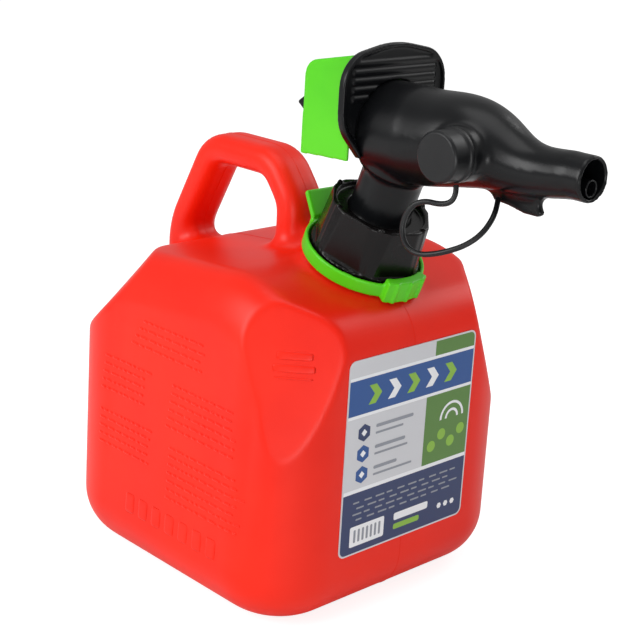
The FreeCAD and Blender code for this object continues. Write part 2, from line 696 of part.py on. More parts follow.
drumHole = primitive("Cylinder", "barrel_drum_hole", boreAt(mm("barrelRear")),
                     Radius="stationRadius_1 - barrelWall", Height="stationPlace_1 - barrelRear")
nose = tapered("barrel_nose", barrelStations("0", "0"))
noseHole = tapered("barrel_nose_hole", barrelStations("barrelWall", "noseLip"))
tips = []
for name, skin in (("nozzle_tip", "0"), ("nozzle_tip_hole", "noseLip")):
    tip = primitive("Cylinder", name, boreAt(mm(f"stationPlace_{last}")),
                    Radius=f"stationRadius_{last} - {skin}", Height="tipLength")
    tip.setExpression("Placement.Base.z", link(f"stationHeight_{last}"))
    tips.append(tip)
hook = padded("barrel_hook", "XZ", [
    ("hookPlace - 1", "hookLow + 7.5"),
    ("hookPlace", "hookLow + 2.4"),
    ("hookPlace + hookLong * 0.3", "hookLow + 1.8"),
    ("hookPlace + hookLong * 0.62", "hookLow"),
    ("hookPlace + hookLong * 0.93", "hookLow"),
    ("hookPlace + hookLong", "hookLow + 1.8"),
    ("hookPlace + hookLong * 0.86", "hookLow + 5.8"),
    ("hookPlace + hookLong * 0.81", "hookLow + 10.5"),
], "hookThick")


def capAt(depth):
    """A place on the parked cap's axis, from its outer face inwards, its own Z along +Y."""
    return Placement(Vector(mm("capPlace"), depth - mm("capFace"), mm("capHeight")), Rotation(X_AXIS, -90))


CAP_BORE = f"(stationRadius_{last} + capFit)"
peg = primitive("Cylinder", "cap_peg", capAt(mm("capTop") + 1), Radius=f"{CAP_BORE} - pegFit",
                Height="capFace - capTop - 12")
pegBoss = primitive("Cylinder", "cap_boss", capAt(mm("capLength") + mm("slide")),
                    Radius="capRadius + capRing", Height="capFace - capLength - 9")
spoutSolid = joined("spout_solid", stem, flange, sleeve, drum, nose, tips[0], hook, peg, pegBoss)
spout = less("spout_shell", spoutSolid, joined("spout_space", drumHole, noseHole, tips[1]), stemHole, rodRoom)
finished(spout, "spout_body")

# ---------------------------------------------------------------- bulkhead, bush and seals of the valve rod
ARM_HEIGHT = "(boreHeight + armRise)"
arms = []
for number, side in enumerate((-1, 1), start=1):
    arm = padded(f"bulkhead_arm{number}", "XZ", [
        ("barrelRear + 1", f"{ARM_HEIGHT} - armHalf"),
        ("barrelRear + 1", f"{ARM_HEIGHT} + armHalf"),
        ("buttonRear - buttonRake - slide", f"{ARM_HEIGHT} + armHalf"),
        ("buttonRear - buttonRake - slide", f"{ARM_HEIGHT} + barbHalf"),
        ("buttonRear - barbReach", ARM_HEIGHT),
        ("buttonRear - buttonRake - slide", f"{ARM_HEIGHT} - barbHalf"),
        ("buttonRear - buttonRake - slide", f"{ARM_HEIGHT} - armHalf"),
    ], "armThick", Placement(Vector(0, side * mm("armPlace"), 0), Rotation()))
    arms.append(arm)
bulkheadDisc = turned("bulkhead_disc", [
    ("bushRadius + rodFit", "0"),
    ("stationRadius_1 - barrelWall - rodFit", "0"),
    ("stationRadius_1 - barrelWall - rodFit", "bulkheadThick"),
    ("bushRadius + rodFit", "bulkheadThick"),
], boreAt(mm("barrelRear")))
bulkhead = joined("bulkhead_solid", bulkheadDisc, *arms)
finished(bulkhead, "rear_bulkhead")
bush = turned("bush_sleeve", [
    ("rodRadius + rodFit", "-flangeThick"),
    ("bushRadius + flangeThick", "-flangeThick"),
    ("bushRadius + flangeThick", "0"),
    ("bushRadius", "0"),
    ("bushRadius", "bushLength - flangeThick"),
    ("rodRadius + rodFit + 2 * sealSection + rodFit", "bushLength - flangeThick"),
    ("rodRadius + rodFit + 2 * sealSection + rodFit", "bushLength - 2 * flangeThick"),
    ("rodRadius + rodFit", "bushLength - 2 * flangeThick"),
], boreAt(mm("barrelRear")))
finished(bush, "rod_bush")
sealPlace = mm("barrelRear") + mm("bushLength") - 2 * mm("flangeThick") + mm("sealSection")
rodSeal = primitive("Torus", "seal_ring", boreAt(sealPlace), Radius1="rodRadius + rodFit + sealSection",
                    Radius2="sealSection")
finished(rodSeal, "rod_seal")

# ---------------------------------------------------------------- vent tube and valve
VENT = [
    ("stationPlace_1", "ventSmall", "ventLow"),
    ("stationPlace_1 + 14", "ventSmall", "ventLow"),
    ("stationPlace_1 + 23", "ventSmall + 0.1", "ventLow + 0.5"),
    ("stationPlace_5 - 22", "ventSmall + 0.4", "ventLow + 3.5"),
    ("stationPlace_5", "ventLarge - 0.5", "ventLow + 6.4"),
    ("stationPlace_6", "ventLarge - 0.1", "ventLow + 8.4"),
    (f"stationPlace_{last} + tipLength - 1", "ventLarge", "ventLow + 9.3"),
]
ventHole = [(place, f"{radius} - ventWall", height) for place, radius, height in VENT]
vent = less("vent_pipe", tapered("vent_outside", VENT), tapered("vent_inside", ventHole))
finished(vent, "vent_tube")
seatRing = turned("seat_ring", [
    ("seatBore", "0"),
    ("stationRadius_1 + barrelWall", "0"),
    ("stationRadius_1 + barrelWall", "seatThick"),
    ("seatBore", "seatThick"),
], boreAt(mm("seatPlace")))
seatFill = tapered("seat_fill", barrelStations("barrelWall - rodFit", "noseLip - rodFit"))
ventWay = primitive("Cylinder", "seat_vent_way", boreAt(mm("seatPlace")), Radius="ventSmall + gap",
                    Height="seatThick")
ventWay.setExpression("Placement.Base.z", link("ventLow"))
seat = less("seat_plate", shared("seat_blank", seatRing, seatFill), ventWay)
finished(seat, "valve_seat")

SEAL_PLACE = mm("seatPlace") + mm("seatThick") + mm("gap")
seal = turned("seal_washer", [
    ("rodRadius + slide", "0"),
    ("discRadius - slide", "0"),
    ("discRadius - slide", "sealThick"),
    ("rodRadius + slide", "sealThick"),
], boreAt(SEAL_PLACE))
finished(seal, "valve_seal")
disc = turned("disc_plate", [
    ("0", "0"),
    ("discRadius", "0"),
    ("discRadius", "discThick / 2"),
    ("rodRadius + 1.5", "discThick"),
    ("rodRadius", "discThick + 2"),
    ("0", "discThick + 2"),
], boreAt(SEAL_PLACE + mm("sealThick")))
finished(disc, "valve_disc")
headPlace = mm("buttonRear") + mm("buttonWall") + mm("slide")
shaft = primitive("Cylinder", "rod_shaft", boreAt(headPlace), Radius="rodRadius",
                  Height="seatPlace + seatThick + gap + sealThick - buttonRear - buttonWall - slide")
head = block("rod_head", ("buttonRear + buttonWall + slide", "-headHalf", "boreHeight - headTall / 2"),
             ("buttonRear + buttonWall + slide + headThick", "headHalf", "boreHeight + headTall / 2"))
rod = joined("rod_solid", shaft, head)
finished(rod, "valve_rod")

springStart = headPlace + mm("headThick") + mm("springWire") / 2 + mm("gap")
springEnd = mm("barrelRear") - mm("flangeThick") - mm("springWire") / 2 - mm("gap")
springLength = springEnd - springStart
coil = Part.makeHelix(springLength / mm("springTurns"), springLength, mm("springRadius"))
wire = Part.Wire(Part.makeCircle(mm("springWire") / 2, Vector(mm("springRadius"), 0, 0), Y_AXIS))
spring = doc.addObject("Part::Feature", "spring_coil")
spring.Shape = Part.Wire(coil.Edges).makePipeShell([wire], True, True)
spring.Placement = boreAt(springStart)
finished(spring, "return_spring")


# ---------------------------------------------------------------- hand guard with finger ribs
def guardPlate(name, inset, low, thick):
    """The guard's outline, moved inwards, padded forwards from a distance in front of its rear face."""
    body = padded(name, "YZ", [
        (f"-guardFoot + {inset}", f"guardLow + {inset}"),
        (f"guardFoot - {inset}", f"guardLow + {inset}"),
        (f"guardHalf - {inset}", f"guardLow + guardHalf / 2 + {inset}"),
        (f"guardHalf - {inset}", f"guardTop - guardDrop - {inset}"),
        ("0", f"guardTop - {inset}"),
        (f"-guardHalf + {inset}", f"guardTop - guardDrop - {inset}"),
        (f"-guardHalf + {inset}", f"guardLow + guardHalf / 2 + {inset}"),
    ], thick, offset=f"guardPlace + {low}")
    skin = valueOf(inset)
    half = mm("guardHalf") - skin
    middle = (mm("guardLow") + mm("guardTop")) / 2

    def upright(edge, atSide, high):
        point = edge.Vertexes[0]
        along = near(edge.Length, valueOf(thick)) and near(abs(edge.tangentAt(0).x), 1)
        return along and near(abs(point.Y), half if atSide else 0) and (point.Z > middle) == high

    rounded(body, f"guardCorner - {inset}", lambda edge: upright(edge, True, True))
    rounded(body, f"guardBelly - {inset}", lambda edge: upright(edge, True, False))
    return rounded(body, f"guardCrown - {inset}", lambda edge: upright(edge, False, True))


plate = guardPlate("guard_plate", "0", "0", "guardThick + rimHigh")
dish = guardPlate("guard_dish", "rimWide", "guardThick", "2 * rimHigh")
guardRibs = []
for number in range(int(mm("gripRibs"))):
    low = f"guardTop - 9 - gripRibPitch * {number}"
    guardRibs.append(block(f"guard_rib{number + 1}", ("guardPlace", "-guardHalf * 0.8", f"{low} - ribWide"),
                           ("guardPlace + guardThick + gripRibHigh", "guardHalf * 0.8", low)))
drumWay = primitive("Cylinder", "guard_drum_way", boreAt(mm("barrelRear")), Radius="stationRadius_1 + rodFit",
                    Height="stationPlace_1 - barrelRear")
sleeveWay = primitive("Cylinder", "guard_sleeve_way", neckAt(mm("sleeveLow") / 2),
                      Radius="stemRadius + sleeveWall + rodFit", Height=f"{ELBOW} - sleeveLow / 2")
guardRibbed = joined("guard_ribbed", less("guard_rimmed", plate, dish), *guardRibs)
guard = less("guard_solid", guardRibbed, drumWay, sleeveWay)
finished(guard, "hand_guard")

# ---------------------------------------------------------------- squeeze button
buttonOut = padded("button_block", "XZ", [
    ("buttonRear - buttonRake", "buttonLow"),
    ("buttonFront", "buttonLow + 1.5"),
    ("buttonFront", "buttonTop"),
    ("buttonRear", "buttonTopRear"),
], "2 * buttonHalf")
rounded(buttonOut, "buttonRound", lambda edge: near(edge.Length, 2 * mm("buttonHalf"))
        and near(edge.Vertexes[0].Z, mm("buttonTopRear")))
buttonIn = padded("button_space", "XZ", [
    ("buttonRear + buttonWall", "buttonLow - 1"),
    ("buttonFront + 1", "buttonLow - 1"),
    ("buttonFront + 1", "buttonTop - buttonWall"),
    ("buttonRear + buttonWall", "buttonTopRear - buttonWall"),
], "2 * buttonHalf - 2 * buttonWall")
innerWidth = 2 * (mm("buttonHalf") - mm("buttonWall"))
rounded(buttonIn, "buttonRound - buttonWall", lambda edge: near(edge.Length, innerWidth)
        and near(edge.Vertexes[0].Z, mm("buttonTopRear") - mm("buttonWall")))
slots = []
rails = []
for number, side in enumerate((-1, 1), start=1):
    low, high = ("armPlace - armThick / 2 - slide", "armPlace + armThick / 2 + slide")
    if side < 0:
        low, high = f"-({high})", f"-({low})"
    slots.append(block(f"button_slot{number}", ("buttonRear - 5", low, f"{ARM_HEIGHT} - armHalf - slide"),
                       ("buttonRear + buttonWall + 1", high,
                        f"{ARM_HEIGHT} + armHalf + slide + unlockTravel")))
    railFaces = ["headHalf + slide", "headHalf + slide + railThick"]
    lipFaces = ["headHalf - railThick", "headHalf + slide + railThick"]
    if side < 0:
        railFaces = [f"-({face})" for face in reversed(railFaces)]
        lipFaces = [f"-({face})" for face in reversed(lipFaces)]
    tall = ("boreHeight - headTall / 2 - unlockTravel", "boreHeight + headTall / 2 + 2 * unlockTravel")
    lipPlace = "buttonRear + buttonWall + headThick + 2 * slide"
    rails.append(block(f"button_rail{number}", ("buttonRear + buttonWall / 2", railFaces[0], tall[0]),
                       (lipPlace, railFaces[1], tall[1])))
    rails.append(block(f"button_lip{number}", (lipPlace, lipFaces[0], tall[0]),
                       (f"{lipPlace} + railThick", lipFaces[1], tall[1])))
button = joined("button_solid", less("button_shell", buttonOut, buttonIn, *slots), *rails)
finished(button, "trigger_button")

# ---------------------------------------------------------------- dust cap and its tether
cap = turned("cap_cup", [
    ("0", "0"),
    ("capRadius - 1", "0"),
    ("capRadius", "1"),
    ("capRadius", "capLength - 2.2"),
    ("capRadius + capRing", "capLength - 2.2"),
    ("capRadius + capRing", "capLength"),
    (CAP_BORE, "capLength"),
    (CAP_BORE, "capTop"),
    ("0", "capTop"),
], capAt(0))
finished(cap, "dust_cap")

ringReach = mm("capRadius") + mm("capRing")
TETHER = [
    (128.8, -23.6, mm("capHeight") - ringReach - mm("slide")), (130.0, -24.3, 225.3), (128.6, -25.9, 221.0),
    (123.6, -28.0, 219.6), (117.5, -30.5, 220.3), (111.9, -32.5, 217.6), (108.7, -33.9, 211.4),
    (108.3, -34.6, 204.6), (111.2, -34.4, 198.6), (116.6, -33.2, 195.9), (123.2, -31.4, 196.8),
    (130.9, -28.6, 199.6), (137.9, -24.6, 203.4), (142.2, -19.4, 208.6), (142.8, -13.6, 214.6),
    (140.2, -7.8, 219.4), (136.6, -3.2, 221.6),
]


def tubePath(points):
    """A wire of straight runs joined by arcs nearly as large as the runs allow."""
    radii = []
    for before, corner, after in zip(points, points[1:], points[2:]):
        half = (math.pi - (before - corner).getAngle(after - corner)) / 2
        radii.append(0.45 * min((before - corner).Length, (after - corner).Length) / math.tan(half))
    return cornerPath(points, radii)


route = [Vector(*point) for point in TETHER]
path = tubePath(route)
strap = Part.Wire(Part.makeCircle(mm("tetherRadius"), route[0], route[1] - route[0]))
tether = doc.addObject("Part::Feature", "tether_tube")
tether.Shape = path.makePipeShell([strap], True, False)
finished(tether, "cap_tether")
print("tether length", round(path.Length, 1))

# ---------------------------------------------------------------- checks and export
doc.recompute()
for item in doc.Objects:
    if "Invalid" in item.State or "Error" in item.State:
        raise RuntimeError(f"{item.Name} failed: {item.State}")
PIECES = [can, label, ring, gasket, collar, spout, bulkhead, bush, rodSeal, vent, seat, seal, disc, rod,
          spring, guard, button, cap, tether]
os.makedirs("parts", exist_ok=True)
for piece in PIECES:
    if piece.Shape.isNull() or not piece.Shape.isValid():
        raise RuntimeError(f"{piece.Label} has no valid shape")
    piece.Shape.exportStep(f"parts/{piece.Label}.step")
    print(piece.Label, len(piece.Shape.Solids), round(piece.Shape.Volume))
print("brimful litres", round(inner.Shape.Volume / 1e6, 2))
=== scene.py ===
import bpy
import bmesh
import math
import random
from mathutils import Matrix, Vector
from mathutils.bvhtree import BVHTree


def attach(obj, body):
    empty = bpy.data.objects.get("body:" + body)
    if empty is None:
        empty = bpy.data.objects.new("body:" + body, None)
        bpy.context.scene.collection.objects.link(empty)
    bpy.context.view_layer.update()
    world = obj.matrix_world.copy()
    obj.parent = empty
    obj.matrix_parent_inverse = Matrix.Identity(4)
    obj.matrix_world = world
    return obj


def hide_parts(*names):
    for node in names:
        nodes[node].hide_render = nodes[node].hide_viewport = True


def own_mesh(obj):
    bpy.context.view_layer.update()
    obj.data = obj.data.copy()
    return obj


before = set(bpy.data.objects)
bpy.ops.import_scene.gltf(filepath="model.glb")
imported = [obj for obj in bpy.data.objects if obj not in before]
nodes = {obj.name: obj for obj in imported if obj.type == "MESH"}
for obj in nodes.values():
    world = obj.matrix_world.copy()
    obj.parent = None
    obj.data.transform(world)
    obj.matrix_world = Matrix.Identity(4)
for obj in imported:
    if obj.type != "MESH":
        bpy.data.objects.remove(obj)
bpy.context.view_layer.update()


def mm(value):  # millimetres to metres
    return value / 1000


# ---- the view
view = {"place": (0.5499, -0.5148, 0.3705), "lens": 83.59, "sensor": 36.0}
camera = bpy.data.objects.new("camera", bpy.data.cameras.new("camera"))
camera.data.sensor_width = view["sensor"]
camera.data.lens = view["lens"]
camera.data.clip_start = 0.01
camera.data.clip_end = 20
right = Vector((0.6826, 0.7289, 0.0524)).normalized()
back = Vector((0.6836, -0.6622, 0.3070)).normalized()
up = back.cross(right).normalized()
right = up.cross(back).normalized()
camera.matrix_world = Matrix.Translation(view["place"]) @ Matrix((right, up, back)).transposed().to_4x4()
bpy.context.scene.collection.objects.link(camera)
bpy.context.scene.camera = camera


# ---- materials
def linear(hexText):  # an sRGB hex value as linear colour
    channels = [int(hexText[i:i + 2], 16) / 255 for i in (1, 3, 5)]
    return [c / 12.92 if c <= 0.04045 else ((c + 0.055) / 1.055) ** 2.4 for c in channels] + [1.0]


def add(tree, kind, inputs=None, **settings):  # one node, its settings, and its inputs as values or links
    prefix = "ShaderNode" if tree.bl_idname == "ShaderNodeTree" else ""
    node = tree.nodes.new(prefix + kind)
    for name, value in settings.items():
        setattr(node, name, value)
    for name, value in (inputs or {}).items():
        socket = node.inputs[name]
        if isinstance(value, bpy.types.NodeSocket):
            tree.links.new(value, socket)
        else:
            socket.default_value = value
    return node


def moulded(name, finish):  # an injection or blow moulded plastic, coloured and textured by its finish
    material = bpy.data.materials.new(name)
    material.use_nodes = True
    tree = material.node_tree
    tree.nodes.clear()
    place = add(tree, "TexCoord").outputs["Object"]
    cloud = add(tree, "TexNoise", {"Vector": place, "Scale": 1000 / finish["cloudSize"], "Detail": 3.0})
    tone = add(tree, "ValToRGB", {"Fac": cloud.outputs["Fac"]})
    tone.color_ramp.elements[0].position = 0.35
    tone.color_ramp.elements[1].position = 0.65
    tone.color_ramp.elements[0].color = linear(finish["dark"])
    tone.color_ramp.elements[1].color = linear(finish["light"])
    grain = add(tree, "TexNoise", {"Vector": place, "Scale": 1000 / finish["grainSize"], "Detail": 2.0})
    flow = add(tree, "TexNoise", {"Vector": place, "Scale": 1000 / finish["flowSize"], "Detail": 1.0})
    fine = add(tree, "Bump", {
        "Height": grain.outputs["Fac"], "Strength": finish["grain"], "Distance": mm(0.1)})
    broad = add(tree, "Bump", {"Height": flow.outputs["Fac"], "Strength": finish["flow"], "Distance": mm(1.0),
                               "Normal": fine.outputs["Normal"]})
    worn = add(tree, "MapRange", {"Value": cloud.outputs["Fac"], "From Min": 0.3, "From Max": 0.7,
                                  "To Min": finish["rough"] - finish["roughSpread"],
                                  "To Max": finish["rough"] + finish["roughSpread"]})
    shader = add(tree, "BsdfPrincipled", {
        "Base Color": tone.outputs["Color"], "Roughness": worn.outputs["Result"], "IOR": finish["ior"],
        "Normal": broad.outputs["Normal"], "Specular IOR Level": finish.get("specular", 0.5),
    })
    add(tree, "OutputMaterial", {"Surface": shader.outputs["BSDF"]})
    return material


# blow moulded high density polyethylene: waxy, slightly wavy, with a low broad sheen
redPolyethylene = moulded("red blow moulded polyethylene", {
    "dark": "#E61C04", "light": "#EE240A", "cloudSize": 60.0, "grainSize": 0.9, "grain": 0.2,
    "flowSize": 24.0, "flow": 0.12, "rough": 0.38, "roughSpread": 0.04, "ior": 1.51, "specular": 0.26})
# injection moulded polypropylene: clean, even and semi-gloss
greenPolypropylene = moulded("green moulded polypropylene", {
    "dark": "#4EC412", "light": "#58CE16", "cloudSize": 40.0, "grainSize": 0.5, "grain": 0.10,
    "flowSize": 15.0, "flow": 0.04, "rough": 0.38, "roughSpread": 0.04, "ior": 1.49, "specular": 0.35})
# black acetal of the spout: satin with a soft blue sheen
blackAcetal = moulded("black moulded acetal", {
    "dark": "#090A0C", "light": "#0D0E10", "cloudSize": 50.0, "grainSize": 0.6, "grain": 0.15,
    "flowSize": 18.0, "flow": 0.06, "rough": 0.3, "roughSpread": 0.05, "ior": 1.48, "specular": 0.28})
# black nylon of the collar: a little browner and glossier
blackNylon = moulded("black moulded nylon", {
    "dark": "#080606", "light": "#0E0A0B", "cloudSize": 30.0, "grainSize": 0.5, "grain": 0.10,
    "flowSize": 12.0, "flow": 0.06, "rough": 0.26, "roughSpread": 0.05, "ior": 1.53, "specular": 0.22})
# soft elastomer of the cap and strap: matt and slightly grey
blackElastomer = moulded("black moulded elastomer", {
    "dark": "#0B0C0E", "light": "#121315", "cloudSize": 20.0, "grainSize": 0.4, "grain": 0.2,
    "flowSize": 8.0, "flow": 0.03, "rough": 0.4, "roughSpread": 0.05, "ior": 1.48, "specular": 0.4})
nitrileRubber = moulded("black nitrile rubber", {
    "dark": "#101011", "light": "#18181A", "cloudSize": 10.0, "grainSize": 0.3, "grain": 0.3,
    "flowSize": 5.0, "flow": 0.05, "rough": 0.6, "roughSpread": 0.05, "ior": 1.52})


def printedFilm(name, colour, rough=0.34):  # ink under a clear film, with a faint paper mottle
    return moulded(name, {"dark": colour, "light": colour, "cloudSize": 30.0, "grainSize": 0.7, "grain": 0.05,
                          "flowSize": 14.0, "flow": 0.05, "rough": rough, "roughSpread": 0.03, "ior": 1.5})


labelFilm = printedFilm("coated label film", "#CBCCD0")
inkBlue = printedFilm("blue label ink", "#1F4E8F")
inkNavy = printedFilm("navy label ink", "#26355F")
inkGreen = printedFilm("leaf green label ink", "#557F37")
inkPale = printedFilm("pale label ink", "#E9EAED")
inkGrey = printedFilm("grey label ink", "#8C9099")
inkLime = printedFilm("lime label ink", "#86B53C")

# drawn stainless wire: bright metal with fine lines along it
springSteel = bpy.data.materials.new("drawn stainless wire")
springSteel.use_nodes = True
steelTree = springSteel.node_tree
steelTree.nodes.clear()
steelPlace = add(steelTree, "TexCoord").outputs["Object"]
steelLines = add(steelTree, "TexNoise", {"Vector": steelPlace, "Scale": 900.0, "Detail": 2.0})
steelBump = add(steelTree, "Bump", {
    "Height": steelLines.outputs["Fac"], "Strength": 0.2, "Distance": mm(0.05)})
steelShader = add(steelTree, "BsdfPrincipled", {
    "Base Color": linear("#B9BABD"), "Metallic": 1.0, "Roughness": 0.28,
    "Normal": steelBump.outputs["Normal"]})
add(steelTree, "OutputMaterial", {"Surface": steelShader.outputs["BSDF"]})

finishes = {
    "can_body": redPolyethylene, "front_label": labelFilm, "lock_ring": greenPolypropylene,
    "neck_gasket": nitrileRubber, "collar_nut": blackNylon, "spout_body": blackAcetal,
    "rear_bulkhead": blackAcetal, "rod_bush": blackAcetal, "rod_seal": nitrileRubber,
    "vent_tube": blackAcetal, "valve_seat": blackAcetal, "valve_seal": nitrileRubber,
    "valve_disc": blackAcetal, "valve_rod": blackAcetal, "return_spring": springSteel,
    "hand_guard": blackAcetal, "trigger_button": greenPolypropylene, "dust_cap": blackElastomer,
    "cap_tether": blackElastomer,
}
for name, finish in finishes.items():
    nodes[name].data.materials.clear()
    nodes[name].data.materials.append(finish)
print("materials ready")


# ---- rounded copies of the moulded pieces
def groupOf(name):  # an empty Geometry Nodes group with one geometry in and one out
    tree = bpy.data.node_groups.new(name, "GeometryNodeTree")
    for side in ("INPUT", "OUTPUT"):
        tree.interface.new_socket("Geometry", in_out=side, socket_type="NodeSocketGeometry")
    return tree


def baked(item, tree):  # a new mesh from an object run through a Geometry Nodes group
    modifier = item.modifiers.new(tree.name, "NODES")
    modifier.node_group = tree
    settled = item.evaluated_get(bpy.context.evaluated_depsgraph_get())
    mesh = bpy.data.meshes.new_from_object(settled)
    item.modifiers.remove(modifier)
    return mesh


def placed(name, mesh, body, slotName, *replacedNodes):  # a visual piece that moves with a body
    item = bpy.data.objects.new(name, mesh)
    bpy.context.scene.collection.objects.link(item)
    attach(item, body)
    if replacedNodes:
        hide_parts(*replacedNodes)
    return item


def softened(source, form, finish):  # the source's solid with its hollows filled and its edges rounded
    tree = groupOf(source.name + "Rounding")
    mesh = add(tree, "NodeGroupInput").outputs[0]
    hollow, edge, voxel = form["hollow"], form["edge"], form["voxel"]
    for step in (hollow, -hollow - edge, edge):
        if step:
            grid = add(tree, "GeometryNodeMeshToSDFGrid", {
                "Mesh": mesh, "Voxel Size": mm(voxel), "Band Width": math.ceil(abs(step) / voxel) + 3})
            skin = add(tree, "GeometryNodeGridToMesh", {"Grid": grid.outputs[0], "Threshold": mm(step)})
            mesh = skin.outputs["Mesh"]
    smooth = add(tree, "GeometryNodeSetShadeSmooth", {0: mesh})
    coat = add(tree, "GeometryNodeSetMaterial", {"Geometry": smooth.outputs[0], "Material": finish})
    add(tree, "NodeGroupOutput", {0: coat.outputs[0]})
    return baked(source, tree)


moulds = {
    "lock_ring": {"body": "can", "slot": "green_trim", "voxel": 0.45, "hollow": 0.6, "edge": 0.5},
    "collar_nut": {"body": "collar", "slot": "collar", "voxel": 0.42, "hollow": 0.3, "edge": 0.35},
    "spout_body": {"body": "spout", "slot": "spout", "voxel": 0.75, "hollow": 3.5, "edge": 0.45},
    "hand_guard": {"body": "spout", "slot": "spout", "voxel": 0.45, "hollow": 0.8, "edge": 0.6},
    "trigger_button": {"body": "button", "slot": "green_trim", "voxel": 0.5, "hollow": 0.8, "edge": 0.8},
    "dust_cap": {"body": "cap", "slot": "cap", "voxel": 0.3, "hollow": 0.4, "edge": 0.3},
    "rear_bulkhead": {"body": "spout", "slot": "spout", "voxel": 0.45, "hollow": 0.8, "edge": 0.5},
    "vent_tube": {"body": "spout", "slot": "spout", "voxel": 0.3, "hollow": 0.0, "edge": 0.25},
}
for name, form in moulds.items():
    copy = softened(nodes[name], form, finishes[name])
    placed(name.title().replace("_", "") + "Moulding", copy, form["body"], form["slot"], name)
    print(name, "rounded, faces", len(copy.polygons))

# ---- the can's skin, with the handle and the neck boss blended into the shoulders
neck = {"seat": (50.4, 0.0, 171.88), "tilt": 21.0, "bore": 18.7, "outside": 22.1, "length": 23.0,
        "root": -3.9, "lip": 1.2, "steps": 128}
thread = {"low": 9.6, "high": 20.4, "pitch": 4.6, "deep": 1.25, "wide": 2.4, "sunk": 0.3, "crest": 0.35,
          "steps": 48, "fade": 6}
canForm = {"voxel": 1.45, "hollow": 7.0, "edge": 0.8}
# the moulded skin draws in at its shoulders and leans back over the front corners
draw = {"clear": 48.0, "side": 87.2, "shoulder": 9.0, "from": 98.0, "to": 160.0}
facet = {"turn": 48.0, "rise": 16.0, "reach": 131.2, "wall": 2.3, "high": 0.35, "linesAside": 12}
neckTurn = Matrix.Rotation(math.radians(neck["tilt"]), 4, "Y")
neckFrame = Matrix.Translation([mm(value) for value in neck["seat"]]) @ neckTurn
toNeck = neckFrame.inverted()


def neckSpot(point):  # radius and height of a point about the neck's axis, in millimetres
    local = toNeck @ point * 1000
    return math.hypot(local.x, local.y), local.z


def flooded(start, stops):  # the faces joined to a first one without passing an edge that stops
    found, todo = {start}, [start]
    while todo:
        for edge in todo.pop().edges:
            if not stops(edge):
                for face in edge.link_faces:
                    if face not in found:
                        found.add(face)
                        todo.append(face)
    return found


def onRing(edge, radius, height):  # whether an edge lies on a circle about the neck
    spots = [neckSpot(vertex.co) for vertex in edge.verts]
    return all(abs(r - radius) < 0.12 and abs(h - height) < 0.12 for r, h in spots)


def eased(value, start, end):  # a smooth step from nought to one
    share = min(1.0, max(0.0, (value - start) / (end - start)))
    return share * share * (3 - 2 * share)


def facetWay(side):  # the outward direction of a front corner's facet
    yaw, lift = math.radians(side * facet["turn"]), math.radians(facet["rise"])
    return Vector((math.cos(lift) * math.cos(yaw), math.cos(lift) * math.sin(yaw), math.sin(lift)))


def cutAway(solid, place, way):  # a mesh cut off past a plane, and the edges of the cut
    parts = solid.verts[:] + solid.edges[:] + solid.faces[:]
    cut = bmesh.ops.bisect_plane(solid, geom=parts, plane_co=place, plane_no=way, clear_outer=True, dist=1e-7)
    return [part for part in cut["geom_cut"] if isinstance(part, bmesh.types.BMEdge)]


def facetCut(solid, depth):  # both front corners of a closed or open skin cut flat, and the cuts filled
    for side in (-1, 1):
        way = facetWay(side)
        loop = cutAway(solid, way * mm(facet["reach"] - depth), way)
        bmesh.ops.contextual_create(solid, geom=loop)


canSolid = bmesh.new()
canSolid.from_mesh(nodes["can_body"].data)
bmesh.ops.remove_doubles(canSolid, verts=canSolid.verts, dist=1e-6)
for vertex in canSolid.verts:
    aside, height = abs(vertex.co.y) * 1000, vertex.co.z * 1000
    risen = eased(height, draw["from"], draw["to"])
    inward = draw["shoulder"] * risen * eased(aside, draw["clear"], draw["side"])
    vertex.co.y -= math.copysign(mm(inward), vertex.co.y)
lowest = min(canSolid.faces, key=lambda face: face.calc_center_median().z)
outside = flooded(lowest, lambda edge: onRing(edge, neck["outside"], 0.0))


def awayFromNeck(vertex):  # whether a point lies outside the neck's own tube
    radius, height = neckSpot(vertex.co)
    return radius > neck["outside"] + 1 or height < neck["root"] - 1


inner = [face for face in canSolid.faces if face not in outside and any(map(awayFromNeck, face.verts))]
print("can faces outside", len(outside), "inside", len(inner), "of", len(canSolid.faces))


def partOf(solid, keep):  # a mesh of some of a solid's faces
    copy = solid.copy()
    copy.faces.ensure_lookup_table()
    solid.faces.index_update()
    wanted = {face.index for face in keep}
    spare = [face for face in copy.faces if face.index not in wanted]
    bmesh.ops.delete(copy, geom=spare, context="FACES")
    return copy


shell = partOf(canSolid, outside)
rim = [edge for edge in shell.edges if edge.is_boundary]
bmesh.ops.contextual_create(shell, geom=rim)
facetCut(shell, 0.0)
shellMesh = bpy.data.meshes.new("canShell")
shell.to_mesh(shellMesh)
shellItem = bpy.data.objects.new("canShell", shellMesh)
bpy.context.scene.collection.objects.link(shellItem)
skinMesh = softened(shellItem, canForm, redPolyethylene)
bpy.data.objects.remove(shellItem)
skin = bmesh.new()
skin.from_mesh(skinMesh)
middle = (neck["bore"] + neck["outside"]) / 2
hole = []
for face in skin.faces:  # the skin is opened where the neck's bore meets it
    radius, height = neckSpot(face.calc_center_median())
    if radius < middle and abs(height) < 3:
        hole.append(face)
bmesh.ops.delete(skin, geom=hole, context="FACES")
skin.to_mesh(skinMesh)
placed("canSkin", skinMesh, "can", "can", "can_body")
print("can skin ready, faces", len(skinMesh.polygons), "rim edges", len(rim))

inside = partOf(canSolid, inner)
facetCut(inside, facet["wall"])
insideMesh = bpy.data.meshes.new("canInside")
inside.to_mesh(insideMesh)
insideMesh.shade_smooth()
insideMesh.materials.append(redPolyethylene)
placed("canInside", insideMesh, "can", "can")


def spotOn(place, radius, height, angle):  # a point given in millimetres round a place's own Z
    return place @ Vector((mm(radius) * math.cos(angle), mm(radius) * math.sin(angle), mm(height)))


